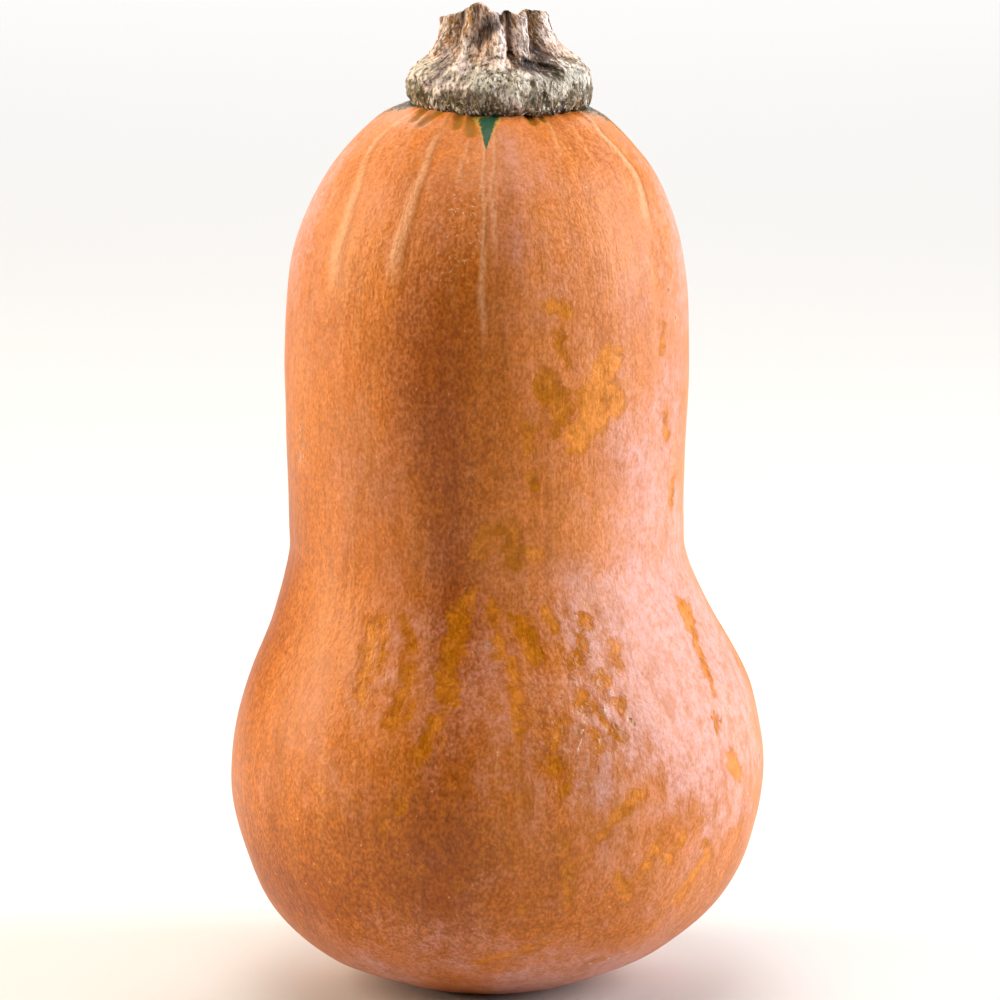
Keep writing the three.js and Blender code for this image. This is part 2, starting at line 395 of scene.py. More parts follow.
def scattered_rubs(rng):
    """More rubbed strokes for the sides and the back, at random, most of them round the bulb."""
    strokes = []
    for _ in range(46):
        azimuth = rng.uniform(85, 275)
        height = rng.choice([rng.normal(50, 9), rng.normal(88, 10), rng.uniform(18, 60)])
        slant = rng.normal(0, 2)
        reach = rng.uniform(0.3, 4.5)
        half_width = rng.uniform(0.5, 1.5)
        depth = rng.uniform(0.2, 1)
        strokes.append((azimuth, height, azimuth + slant, height - reach, half_width, depth))
    return strokes


def rubbed_fields(skin, strokes):
    """How far inside the nearest stroke each point is, in millimetres, and how deep its colour is."""
    inside = -9
    weight = 1e-12
    depth = 0
    for *stroke, deepness in strokes:
        field = skin.inside_stroke(*stroke)
        inside = np.maximum(inside, field)
        nearness = np.exp(np.clip(field, -8, 4) / 0.4)
        weight += nearness
        depth += nearness * deepness
    return np.clip(inside, -4, 4), depth / weight


def patch(skin, azimuth, half_turn, height, half_reach):
    """1 at a place, fading to nothing a little past half_turn degrees and half_reach millimetres."""
    sideways = bump(turn(skin.azimuth, azimuth), math.radians(half_turn))
    return sideways * bump(skin.height - height, half_reach)


# Where the waxy bloom is thicker or thinner, in broad patches. It is laid thickest where the right-hand
# light falls, so it is partly painted sheen, and low on the bulb partly painted light. Each is how much it
# adds, the azimuth of its middle and its half turn in degrees, and the height of its middle and its half
# reach in millimetres.
BLOOM_AND_SHEEN = (
    # the right of the bulb and neck, where it is thickest, partly painted sheen where the right-hand light
    # falls
    (1.1, 46, 18, 54, 15), (0.65, 56, 22, 80, 15), (0.4, 60, 22, 38, 14), (0.35, 54, 28, 112, 26),
    (0.9, 76, 16, 56, 18), (0.35, 22, 8, 36, 11), (0.2, 72, 14, 98, 16),
    # the shoulders
    (0.6, 84, 16, 118, 16), (0.9, -82, 18, 121, 15), (0.35, 8, 14, 122, 14), (0.25, 10, 18, 131, 7),
    (0.3, -38, 14, 125, 9), (0.3, -18, 10, 122, 10), (0.25, -64, 12, 106, 14),
    # the front of the neck
    (0.2, 26, 24, 92, 16), (0.1, 30, 9, 104, 7), (0.15, 16, 8, 110, 7), (-0.1, 0, 8, 94, 10),
    (-0.2, -6, 5, 106, 10), (0.15, -32, 9, 92, 9), (0.2, -34, 16, 82, 9), (0.2, -46, 10, 78, 16),
    (0.25, 22, 8, 68, 7), (0.2, 2, 7, 64, 7), (-0.15, 66, 12, 71, 8),
    # the front of the bulb
    (0.4, -24, 12, 58, 12), (0.25, 0, 26, 56, 12), (0.3, 26, 9, 50, 18), (0.15, 2, 8, 54, 8),
    (0.35, 3, 11, 41, 6), (0.3, -44, 12, 42, 16), (-0.3, -34, 30, 25, 9), (0.3, 52, 20, 24, 14),
    # the foot of the bulb, partly painted light where the floor's shade falls
    (0.5, -10, 16, 14, 8), (0.5, 44, 26, 6, 8), (0.3, 14, 14, 8, 8), (0.2, -30, 12, 10, 12),
    (0.4, -48, 22, 5, 7), (-0.2, -12, 12, 5, 6),
    # the left
    (-0.3, -76, 18, 74, 20), (-0.2, -60, 16, 22, 8),
    # the back
    (0.6, 150, 40, 60, 34), (0.5, -140, 34, 82, 36), (0.4, -105, 18, 90, 22),
)

# Where painted shade turns the rind a deeper brown-orange, in the same terms: the dark band down the front,
# the dark left edge, the foot of the bulb, the top of the right shoulder and a patch at the back.
PAINTED_SHADE = (
    (0.8, -18, 11, 102, 19), (0.85, -10, 8, 72, 28), (0.6, -12, 10, 32, 18), (0.4, 12, 5, 44, 20),
    (0.25, 4, 7, 96, 18), (0.3, -5, 5, 106, 13), (0.3, -6, 16, 62, 8), (1, -84, 22, 62, 30),
    (0.4, -24, 24, 30, 10), (0.6, -56, 26, 18, 10), (0.6, 178, 16, 70, 40), (0.3, 48, 14, 130, 8),
)

# Where the rind is freckled, blotted and pitted, in the same terms.
FRECKLED = ((1, -7, 7, 125, 8), (0.35, -14, 12, 112, 12))
BLOTTED = ((1, 20, 20, 48, 18), (0.6, -26, 14, 54, 14))
PITTED = ((1, 23, 9, 51, 9), (0.5, 14, 5, 43, 8), (0.4, 30, 6, 62, 6))


def sum_of_patches(skin, patches):
    """Each of the patches is how much it adds and then its place, as patch takes it."""
    return sum(share * patch(skin, *place) for share, *place in patches)


def bloom_and_sheen_field(skin):
    """How thick the waxy bloom is, from -0.4 to 1, partly painted sheen. Low on the bulb it is thicker, as
    painted light.
    """
    low = 0.35 * smoothstep(skin.height, 14, 4)
    return np.clip(0.05 + sum_of_patches(skin, BLOOM_AND_SHEEN) + low, -0.4, 1)


def painted_shade_field(skin):
    """How much painted shade darkens the rind to a deeper brown-orange, from 0 to 1. A band low on the bulb
    gets it too.
    """
    low = 0.4 * bump(skin.height - 18, 10) * (1 - 0.5 * patch(skin, 45, 30, 18, 20))
    return np.clip(sum_of_patches(skin, PAINTED_SHADE) + low, 0, 1)


def fruit_swell(skin):
    """How far the fruit swells past its round outline in each direction, as a share of the radius."""
    share = skin.height / FRUIT_HEIGHT
    dome = smoothstep(share, 0.7, 0.95)
    bulb = 1 - smoothstep(share, 0.25, 0.5)
    oval = 0.006 * np.cos(2 * (skin.azimuth - math.pi / 2 - 0.5))
    three_sided = 0.004 * np.cos(3 * (skin.azimuth - math.pi / 2 + 0.4))
    shoulders = 0.011 * dome * np.cos(5 * skin.azimuth)
    seed_ridges = 0.004 * bulb * np.cos(10 * skin.azimuth)
    return oval + three_sided + shoulders + seed_ridges


def rind_marks(skin, around, below_stem):
    """What is on the rind at each point, by name, for its relief and its finish."""
    height, path = skin.height, skin.path
    rubbed, rub_depth = rubbed_fields(skin, [*RUBBED, *scattered_rubs(np.random.default_rng(SEED))])
    low_blots = 0.15 + 0.55 * smoothstep(height, 66, 36)
    freckled = 0.25 + sum_of_patches(skin, FRECKLED) + low_blots / 2
    blotted = sum_of_patches(skin, BLOTTED) + low_blots
    pitted = np.clip(sum_of_patches(skin, PITTED), 0, 1)

    # A green wedge at the front widens from its point up to the stem. A green ring goes round the collar,
    # near black with painted shade where the collar sits on the rind.
    above_point = path - skin.climb_to(131.8)
    wedge = np.clip(0.27 * above_point, 0.1, 3)
    green_tip = 1 - np.abs(skin.beside(-2.8)) / wedge - 3 * smoothstep(above_point, 0.3, -0.3)
    green_and_shade_at_collar = 1 - (below_stem - UNDER_THE_STEM) / skin.around(GREEN_REACH)
    return {
        "grain": skin.grain(30),
        "rubbed": rubbed,
        "rub_depth": rub_depth,
        "scar": skin.nearest_stroke(SCARS),
        "healed": skin.nearest_stroke(HEALED),
        "crease": skin.nearest_stroke(CREASES),
        "bloom_and_sheen": bloom_and_sheen_field(skin),
        "painted_shade": painted_shade_field(skin),
        "freckled": np.clip(freckled, 0, 1),
        "blotted": np.clip(blotted, 0, 1),
        "green_tip": np.clip(green_tip, -2, 1),
        "green_and_shade_at_collar": np.clip(green_and_shade_at_collar, -2, 1),
        "blossom": smoothstep(path, 14, 3),
        "wrinkled": patch(skin, -31, 4.5, 57, 5),
        "pitted": pitted,
        "pits": pitted * smoothstep(noise_at(around * (1, 1, 0.85) + 7, 2.6, 2), 0.05, 0.5),
    }


def rind_relief(skin, around, below_stem, marks):
    """How far the rind stands out beyond the CAD's outline, in millimetres, but for its veins."""
    grain = marks["grain"]
    lumps = 0.35 * noise_at(around, 24) + 0.16 * noise_at(around + 50, 8)
    streaks = 0.03 * noise_at(grain * (1, 1, 0.12), 2.2)
    folds = 0.5 * noise_at(grain * (1, 1, 0.2), 3.2) + 0.3 * np.abs(np.sin(15 * skin.azimuth)) - 0.2
    folds = np.exp(-below_stem / 3.5) * folds - 0.3 * smoothstep(marks["crease"], -0.5, 0.3)
    hollows = 0.1 * smoothstep(marks["rubbed"], -0.2, 0.6) * marks["rub_depth"] + 0.28 * marks["pits"]
    scars = 0.16 * smoothstep(marks["scar"], -0.25, 0.15)
    edges = 0.12 * smoothstep(marks["healed"], -0.3, 0.1)
    wrinkles = 0.12 * marks["wrinkled"] * noise_at(around * (1, 1, 0.8), 1.1)
    return lumps + streaks + folds - hollows - scars + edges + wrinkles


def build_fruit():
    outline = fruit_outline()
    underneath = np.argmax(outline[:, 0] > 0.25 * BULB)
    skin = Skin(outline, FRUIT_COLUMNS, slice(underneath + 1, None))
    azimuth, path = skin.azimuth, skin.path
    radius = skin.radius * (1 + fruit_swell(skin))
    around = skin.places(radius, skin.height)
    below_stem = np.clip(skin.climb_to(FRUIT_HEIGHT - 0.01) - path, 0, None)
    veins, vein_pale, vein_groove_shade = vein_fields(skin)
    marks = rind_marks(skin, around, below_stem)

    # The foot stays flat to rest on, and the hollow inside it is puckered.
    resting = 1 - bump(path - skin.climb_to(0.05), 3)
    proud = resting * (rind_relief(skin, around, below_stem, marks) + veins)
    puckers = 0.35 * bump(path - 5.2, 2.6) * np.cos(13 * azimuth + 1.2 * np.sin(3 * azimuth)) * (path < 7)

    outwards = np.gradient(outline, skin.climb, axis=0)
    outwards = stack(outwards[:, 1], -outwards[:, 0])
    outwards /= np.hypot(*outwards.T)[:, None]
    radius = radius + proud * outwards[:, :1]
    points = skin.places(radius, skin.height + (proud * outwards[:, 1:] + puckers))
    points[..., :2] += fruit_middle(outline[:, 1])[:, None]
    fill_sideways(points, FRUIT_LOW, FRUIT_HIGH)
    points[..., 2] = np.clip(points[..., 2], FRUIT_LOW[2], FRUIT_HIGH[2])
    fields = {**marks, "vein_pale": vein_pale, "vein_groove_shade": vein_groove_shade}
    return grid_mesh("squash_rind", points, skin.climb, fields)


# ------------ the stem's form
# Ridges and hollows down the stem. Each is a stroke, whose heights are shares of the stem's, and how far it
# stands proud in millimetres, or is sunk where that is less than nought.
STEM_FOLDS = (
    (-26, 0.84, -36, 0.67, 0.9, 0.5), (-35, 0.65, -33, 0.41, 0.7, 0.8), (-65, 0.84, -72, 0.5, 0.9, 0.8),
    (1, 0.64, -14, 0.48, 0.8, 0.6), (5, 0.8, 0, 0.42, 0.55, 0.8), (31, 0.84, 24, 0.54, 0.8, 1.5),
    (66, 0.84, 60, 0.5, 0.7, 0.7), (3, 0.8, -19, 0.61, 0.6, -0.7), (15, 0.84, 10, 0.52, 0.35, -1.2),
    (9, 0.52, 13, 0.42, 0.45, -0.8), (50, 0.84, 40, 0.56, 0.8, -0.9), (24, 0.43, 40, 0.37, 1.1, -1.2),
    (25, 0.56, 35, 0.5, 0.9, -0.6), (-46, 0.84, -51, 0.58, 0.5, -0.5), (7, 0.84, 6, 0.78, 0.3, -0.9),
    (-56, 0.5, -47, 0.34, 0.9, -0.5),
)

# The stem's colours, in the order that they are laid on, several of them painted highlight or painted shade.
# Each is its strength, its red, green and blue, and where it lies, in strokes.
STEM_COLOURS = {
    # Pale pinkish cork along the ridges, partly a painted highlight, and some on the collar.
    "pale": (0.9, (0.98, 0.8, 0.74), [
        (-35, 0.62, -33, 0.44, 0.55), (-34, 0.46, -26, 0.39, 0.9), (5, 0.77, 0, 0.45, 0.65),
        (31, 0.8, 24, 0.56, 1.1), (2, 0.84, -3, 0.74, 0.6), (66, 0.82, 60, 0.6, 0.45),
        (-42, 0.24, -24, 0.2, 1),
    ]),
    "mauve": (0.7, (0.44, 0.33, 0.32), [
        (-56, 0.52, -46, 0.32, 1), (-40, 0.3, -56, 0.24, 0.6),
    ]),
    # Painted shade, dark purple-grey, in the hollows of the stalk.
    "purple_shade": (0.9, (0.1, 0.072, 0.074), [
        (2, 0.76, -8, 0.69, 0.45), (-8, 0.68, -19, 0.6, 0.7), (21, 0.44, 40, 0.42, 1.6),
        (36, 0.56, 44, 0.5, 1.1),
    ]),
    # Grey-green on the collar, darkened as painted shade.
    "grey_green_shade": (0.8, (0.18, 0.155, 0.1), [
        (38, 0.34, 62, 0.3, 0.8), (44, 0.24, 68, 0.16, 0.9), (56, 0.46, 74, 0.42, 0.8),
        (44, 0.4, 56, 0.34, 0.8), (-38, 0.12, -26, 0.1, 0.9),
    ]),
    "rust": (0.85, (0.42, 0.2, 0.045), [
        (-26, 0.84, -36, 0.67, 0.8), (51, 0.84, 44, 0.62, 0.8), (-52, 0.84, -62, 0.66, 0.5),
    ]),
    "silver": (0.85, (0.6, 0.57, 0.49), [
        (63, 0.33, 66, 0.14, 1.4), (-9, 0.37, -12, 0.22, 1.5), (52, 0.42, 54, 0.3, 0.7),
    ]),
    "cream": (0.8, (0.82, 0.76, 0.6), [
        (7, 0.31, 23, 0.19, 1.2), (0, 0.36, 8, 0.32, 1), (14, 0.16, 19, 0.08, 0.8),
        (34, 0.22, 50, 0.18, 0.9),
    ]),
    # Dark olive low on the collar and in one crease, partly painted shade.
    "olive_shade": (0.9, (0.13, 0.075, 0.008), [
        (-88, 0.06, -50, 0.1, 0.9), (29, 0.28, 29, 0.11, 0.35), (38, 0.08, 66, 0.05, 0.6),
        (-44, 0.1, -24, 0.08, 0.5),
    ]),
    # Painted shade, dark brown, down the crevices.
    "crevice_shade": (0.8, (0.24, 0.11, 0.05), [
        (15, 0.84, 9, 0.52, 0.25), (9, 0.52, 13, 0.42, 0.4), (48, 0.74, 40, 0.58, 0.5),
        (8, 0.84, 7, 0.79, 0.25), (-12, 0.66, -20, 0.6, 0.4), (-46, 0.82, -51, 0.6, 0.15),
    ]),
    # Painted shade, near black, round the collar's foot where it meets the fruit and in a hollow low on the
    # stalk.
    "black_shade": (0.9, (0.05, 0.035, 0.015), [
        (-22, 0.02, 2, 0.04, 0.9), (-15, 0.06, -7, 0.1, 0.7), (24, 0.46, 36, 0.4, 0.45),
        (-60, 0, 60, 0, 0.2),
    ]),
}

# How high up the collar the dark olive painted shade of its underside reaches, as a share of the stem's
# height, by azimuth.
UNDERSIDE_SHADE = (
    (-120, 0.2), (-88, 0.27), (-60, 0.26), (-47, 0.06), (-38, 0.24), (-15, 0.27), (-5, 0.25),
    (3, 0.17), (14, 0.08), (22, 0.34), (28, 0.14), (44, 0.16), (51, 0.24), (60, 0.17), (70, 0.22),
    (80, 0.24), (130, 0.16), (170, 0.25),
)

# How high the rim of the cut stands, as a share of the stem's height, by azimuth.
RIM = (
    (-140, 0.74), (-100, 0.79), (-65, 0.83), (-44, 0.9), (-30, 0.955), (-20, 1), (-10, 0.95),
    (-3, 0.91), (5, 0.865), (14, 0.91), (22, 0.9), (30, 0.85), (38, 0.875), (47, 0.9), (66, 0.865),
    (100, 0.8), (140, 0.75), (180, 0.71),
)
RIM_BEFORE = 0.84  # the rim's share of the height before it is raised and lowered


def stem_outline():
    """From the middle of the base, out under the collar, up the stalk and in across the cut."""
    stalk = STALK / FLARE
    knots = [
        (0.72, -0.1 / STEM_HEIGHT), (0.9, -0.15 / STEM_HEIGHT), (0.97, 0.03), (1, 0.12), (0.99, 0.24),
        (0.95, 0.335), (0.86, 0.41), (0.745, 0.475), (1.25 * stalk, 0.55), (1.11 * stalk, 0.65),
        (1.03 * stalk, 0.76), (stalk, RIM_BEFORE), (0.84 * stalk, RIM_BEFORE + 0.005),
        (0.66 * stalk, RIM_BEFORE - 0.04), (0.3 * stalk, RIM_BEFORE - 0.1),
        (0.15 / FLARE, RIM_BEFORE - 0.11),
    ]
    outside = curve_through(knots, 12) * (FLARE, STEM_HEIGHT)
    base = [(0.15, 0.1), (0.4 * FLARE, 0)]

    def sparse_where_hidden(places):
        return np.where((places[:, 1] < 0.01 * STEM_HEIGHT) & (places[:, 0] < 0.85 * FLARE), 0.15, 1)

    return spread(np.vstack([base, outside]), STEM_ROWS, sparse_where_hidden)


def stem_folds(rng):
    """The ridges and hollows at the front, and more at random round the sides and the back."""
    folds = list(STEM_FOLDS)
    for number, azimuth in enumerate(range(82, 282, 12)):
        top = azimuth + rng.normal(0, 2.5)
        foot = top + rng.normal(0, 5)
        rise = rng.uniform(0.6, 1.2) * (-1 if number % 2 else 1)
        folds.append((top, RIM_BEFORE, foot, rng.uniform(0.4, 0.55), rng.uniform(0.5, 0.8), rise))
    return folds


def five_sided(skin):
    """How far the stem's five corners stand out and its sides are sunk, in millimetres."""
    return 0.3 * np.cos(5 * (skin.azimuth + 0.05))


def stem_relief(skin, grain, off_cut, skirt):
    """How far the corky surface stands out, in millimetres, but for its ribs."""
    share = skin.height / STEM_HEIGHT
    up_stalk = smoothstep(share, 0.3, 0.6) * off_cut
    on_collar = smoothstep(share, 0.02, 0.12) * smoothstep(share, 0.55, 0.38)
    knobs = noise_at(grain * (1, 1, 0.6), 1.1, 3)
    cracks = noise_at(grain * (1, 1, 0.3) + 20, 1.5, 4, ridged=True)
    both = five_sided(skin) + 0.35 * noise_at(grain * (1, 1, 0.4), 2.4, 2) + 0.1 * noise_at(grain, 0.55, 2)
    stalk = both + 0.2 * knobs + 0.2 * cracks
    collar = both + 0.34 * knobs + 0.12 * cracks
    ragged = 0.45 * noise_at(grain * (1, 1, 0.3), 1.2, 3) - 0.1
    return up_stalk * stalk + on_collar * collar + skirt * ragged


def build_stem():
    outline = stem_outline()
    seen = slice(np.argmax(outline[:, 0] > 0.95 * FLARE), np.argmax(outline[:, 1]))
    skin = Skin(outline, STEM_COLUMNS, seen, unit=STEM_HEIGHT)
    share = skin.height / STEM_HEIGHT
    rim = skin.climb[skin.outside][-1]
    before_rim = skin.path < rim
    on_cut = smoothstep(skin.path, rim - 0.2, rim + 0.8)
    skirt = smoothstep(share, 0.16, 0) * before_rim
    grain = skin.grain(10)

    ribs = 0
    for *stroke, rise in stem_folds(np.random.default_rng(SEED + 1)):
        ribs += rise * smoothstep(skin.inside_stroke(*stroke), -0.7, 0.5)
    relief = stem_relief(skin, grain, 1 - on_cut, skirt) + ribs * before_rim
    at_rim = ribs[skin.path[:, 0] <= rim][-1] + five_sided(skin)
    edge_share = np.clip(skin.radius / STALK, 0, 1)
    relief = np.where(skin.path > rim, at_rim * edge_share**3, relief)
    radius = np.clip(skin.radius + relief, 0.1, None)

    # The rim rises and falls, the cut is fibrous, and the collar's ragged edge droops onto the rind.
    cut_relief = on_cut * 0.4 * noise_at(grain * (0.5, 0.5, 1.6), 0.8, 3)
    rise = (skin.around(RIM) - RIM_BEFORE) * STEM_HEIGHT + 0.3 * noise_at(grain * (1, 1, 0), 0.8, 2)
    lift = smoothstep(share, 0.45, RIM_BEFORE) * rise * edge_share
    ragged = 0.8 + 1.3 * noise_at(grain * (1, 1, 0), 1.1, 3) + bump(turn(skin.azimuth, -9), math.radians(9))
    droop = 0.35 * skirt * (skin.radius > 0.85 * FLARE) * ragged
    points = skin.places(radius, skin.height + lift + cut_relief - droop)
    points[..., 0] -= smoothstep(share, 0.4, 1)  # it leans left
    fill_sideways(points, STEM_LOW, STEM_HIGH)
    sunk = 0.45  # so that the collar rests on the rind
    points[..., 2] *= (STEM_HEIGHT + sunk) / points[..., 2].max()
    points[..., 2] += STEM_LOW[2] - sunk

    fields = {
        "grain": grain,
        "height": share,
        "ribs": np.clip(ribs, -2, 2),
        "relief": np.clip(relief, -2, 2),
        "cut": on_cut,
        "underside_shade": np.clip((skin.around(UNDERSIDE_SHADE) - share) * STEM_HEIGHT, -4, 4),
    }
    for name, (_, _, strokes) in STEM_COLOURS.items():
        fields[name] = np.where(before_rim, skin.nearest_stroke(strokes), -4)
    return grid_mesh("corky_stem", points, skin.climb, fields)


# ------------ materials
class Finish:
    """A material made of nodes, whose colour and height, in millimetres, are laid on in layers.

    A method that makes nodes returns the socket of what they work out. A colour is a socket, or its red,
    green and blue.
    """

    def __init__(self, name):
        self.material = bpy.data.materials.new(name)
        self.material.use_nodes = True
        self.tree = self.material.node_tree
        self.shader = self.tree.nodes["Principled BSDF"]
        self.colour = (1, 1, 1)
        self.height = 0

    def node(self, kind, inputs=None, output=0, **settings):
        made = self.tree.nodes.new("ShaderNode" + kind)
        for setting, value in settings.items():
            setattr(made, setting, value)
        for socket, value in (inputs or {}).items():
            self.put(value, made.inputs[socket])
        return made.outputs[output]

    def put(self, value, socket):
        if isinstance(value, bpy.types.NodeSocket):
            self.tree.links.new(value, socket)
        elif socket.type == "RGBA":
            socket.default_value = (*value, 1)
        else:
            socket.default_value = value

    def field(self, name, vector=False):
        return self.node("Attribute", attribute_name=name, output="Vector" if vector else "Fac")

    def place(self):
        """The place on the piece in millimetres."""
        return self.scale(self.node("TexCoord", output="Object"), 1 / MM)

    def scale(self, vector, by):
        """A vector or a colour times a number."""
        return self.node("VectorMath", {0: vector, "Scale": by}, operation="SCALE")

    def stretch(self, vector, by):
        """A vector or a colour times another, each number by its own."""
        return self.node("VectorMath", {0: vector, 1: by}, operation="MULTIPLY")

    def sum(self, first, second):
        return self.node("Math", {0: first, 1: second}, operation="ADD")

    def product(self, first, second):
        return self.node("Math", {0: first, 1: second}, operation="MULTIPLY")

    def less(self, first, second):
        return self.node("Math", {0: first, 1: second}, operation="SUBTRACT")

    def most(self, first, second):
        return self.node("Math", {0: first, 1: second}, operation="MAXIMUM")

    def step(self, value, start, end, low=0, high=1):
        """Goes smoothly from low to high as the value goes from start to end."""
        inputs = {"Value": value, "From Min": start, "From Max": end, "To Min": low, "To Max": high}
        return self.node("MapRange", inputs, interpolation_type="SMOOTHSTEP")

    def swing(self, value, start, reach):
        """Goes smoothly from -reach to reach as a noise goes from start to 1 - start."""
        return self.step(value, start, 1 - start, -reach, reach)

    def ragged(self, field, value, start, reach):
        """A field that a noise moves by up to reach, for a ragged edge."""
        return self.sum(self.field(field), self.swing(value, start, reach))

    def noise(self, vector, size, detail=2, roughness=0.5, distortion=0, along=None):
        """Smooth noise from 0 to 1. Its lumps are that many millimetres wide, and size / along high."""
        if along is not None:
            vector = self.stretch(vector, (1, 1, along))
        lumps = {"Vector": vector, "Scale": 1 / size, "Detail": detail}
        inputs = {**lumps, "Roughness": roughness, "Distortion": distortion}
        return self.node("TexNoise", inputs, output="Fac")

    def dots(self, vector, spacing, least, most, soft):
        """Round dots at random, 1 inside. Spacing is in millimetres, and their radii are shares of it."""
        cells = {"Vector": vector, "Scale": 1 / spacing}
        distance = self.node("TexVoronoi", cells, output="Distance")
        chance = self.node("SeparateColor", {"Color": distance.node.outputs["Color"]})
        radius = self.node("MapRange", {"Value": chance, "To Min": least, "To Max": most})
        return self.step(self.less(radius, distance), 0, soft)

    def mix(self, share, first, second):
        return self.node("Mix", {0: share, 6: first, 7: second}, output=2, data_type="RGBA")

    def paint(self, share, colour, strength=None, rise=None):
        """Lays a colour on where share is 1, at that strength, and can raise the surface there as well."""
        amount = share if strength is None else self.product(share, strength)
        self.colour = self.mix(amount, self.colour, colour)
        if rise is not None:
            self.emboss(share, rise)

    def emboss(self, share, rise):
        self.height = self.sum(self.height, self.product(share, rise))

    def roughen(self, value, start, reach):
        self.height = self.sum(self.height, self.swing(value, start, reach))

    def finish(self, roughness):
        self.put(self.colour, self.shader.inputs["Base Color"])
        self.put(roughness, self.shader.inputs["Roughness"])
        normal = self.node("Bump", {"Height": self.height, "Distance": MM}, output="Normal")
        self.put(normal, self.shader.inputs["Normal"])
        return self.material


def paint_ripe_rind(f, place):
    """Orange, ambered in broad patches, with streaks that run from the stem to the blossom end, and painted
    shade.
    """
    grain = f.field("grain", vector=True)
    ripeness = f.step(f.noise(place, 22, 3), 0.35, 0.65)
    f.colour = f.mix(ripeness, (0.62, 0.17, 0.014), (0.69, 0.205, 0.026))
    streaks = f.noise(grain, 1.6, 4, 0.6, along=0.07)
    f.paint(f.step(streaks, 0.45, 0.75, 0, 0.4), (0.78, 0.31, 0.08))
    f.paint(f.step(streaks, 0.48, 0.25, 0, 0.35), (0.5, 0.13, 0.006))
    f.roughen(streaks, 0.3, 0.02)
    bands = f.noise(grain, 5, 3, 0.6, along=0.3)
    f.colour = f.scale(f.colour, f.step(bands, 0.3, 0.7, 0.9, 1.1))
    # Painted shade: a deeper brown-orange down the front, on the left edge and low on the bulb.
    f.paint(f.field("painted_shade"), (0.36, 0.08, 0.003), 0.9)


def paint_bloom_and_sheen(f, place, mottle, fine):
    """Waxy bloom, peach to pinkish white, in clouds, partly painted sheen. Returns how much of it there is.
    """
    clouds = f.noise(place, 5.5, 5, 0.62, 0.3, along=0.7)
    cloudy = f.product(f.less(clouds, 0.5), f.step(f.field("blotted"), 0.3, 0.9, 0.5, 1.1))
    cover = f.sum(f.sum(cloudy, 0.5), f.product(f.field("bloom_and_sheen"), 0.45))
    share = f.product(f.step(cover, 0.46, 0.98, 0, 0.66), f.step(mottle, 0.3, 0.65, 0.65, 1.1))
    share = f.product(share, f.step(fine, 0.3, 0.7, 0.85, 1.12))
    thickness = f.ragged("bloom_and_sheen", f.noise(place, 7, 4, 0.6), 0.3, 0.2)
    wax = f.mix(f.step(thickness, 0.3, 0.85), (0.75, 0.33, 0.21), (0.8, 0.48, 0.47))
    # The bloom is browner where painted shade lies.
    wax = f.mix(f.product(f.field("painted_shade"), 0.7), wax, (0.52, 0.19, 0.12))
    # Pale bloom, partly painted sheen where the right-hand light falls.
    f.paint(share, wax)
    return share


def paint_speckles(f, place):
    """Salt and pepper: pale freckles and flakes of crust, and darker pores."""
    freckles = f.product(f.dots(place, 1.2, -0.14, 0.2, 0.1), f.field("freckled"))
    f.paint(freckles, (0.92, 0.58, 0.33), 0.85, rise=0.02)
    crust = f.product(f.step(f.noise(place, 0.6, 2, 0.6), 0.6, 0.7), f.step(f.field("freckled"), 0.6, 1))
    f.paint(crust, (0.95, 0.66, 0.46), 0.7, rise=0.05)
    pores = f.dots(f.stretch(place, (1, 1, 0.8)), 1.9, -0.08, 0.13, 0.06)
    f.paint(pores, (0.3, 0.075, 0.006), 0.5, rise=-0.03)


def paint_rubbed(f, place, fine):
    """Small blots, and the larger rubbed places with their darker edge. Returns where those are."""
    blots = f.step(f.noise(place, 2.6, 4, 0.6, along=0.6), 0.51, 0.64)
    f.paint(f.product(f.field("blotted"), blots), (0.54, 0.155, 0.008), 0.65)
    inside = f.sum(f.field("rubbed"), f.step(f.noise(place, 1.8, 3, 0.6, 0.5), 0.25, 0.75, -0.65, 0.95))
    inside = f.sum(inside, f.swing(fine, 0.3, 0.12))
    rubbed = f.step(inside, -0.65, 0.5)
    depth = f.ragged("rub_depth", f.noise(place, 2.2, 3, 0.6), 0.3, 0.35)
    honey = f.mix(depth, (0.9, 0.3, 0.03), (0.54, 0.165, 0))
    stains = f.step(f.noise(place, 1, 3, 0.6), 0.46, 0.64, 0, 0.6)
    honey = f.mix(f.product(stains, f.step(depth, 0, 0.8, 0.2, 1)), honey, (0.4, 0.1, 0.001))
    honey = f.mix(f.step(inside, 0.9, 0.2, 0, 0.3), honey, (0.42, 0.1, 0.001))
    f.paint(rubbed, honey, f.step(depth, 0, 1, 0.8, 1), rise=-0.05)
    return rubbed


def paint_pits(f, place):
    """Ochre-brown pits among pale crumbs on the right of the bulb, and wrinkles on its left."""
    f.paint(f.field("pits"), (0.46, 0.13, 0.006), 0.6)
    flakes = f.product(f.field("pitted"), f.step(f.noise(place, 1.1, 2, 0.6), 0.54, 0.66))
    f.paint(flakes, (0.86, 0.52, 0.36), 0.35, rise=0.05)
    f.emboss(f.product(f.field("wrinkled"), f.noise(place, 0.8, 3, 0.6, along=0.7)), 0.2)


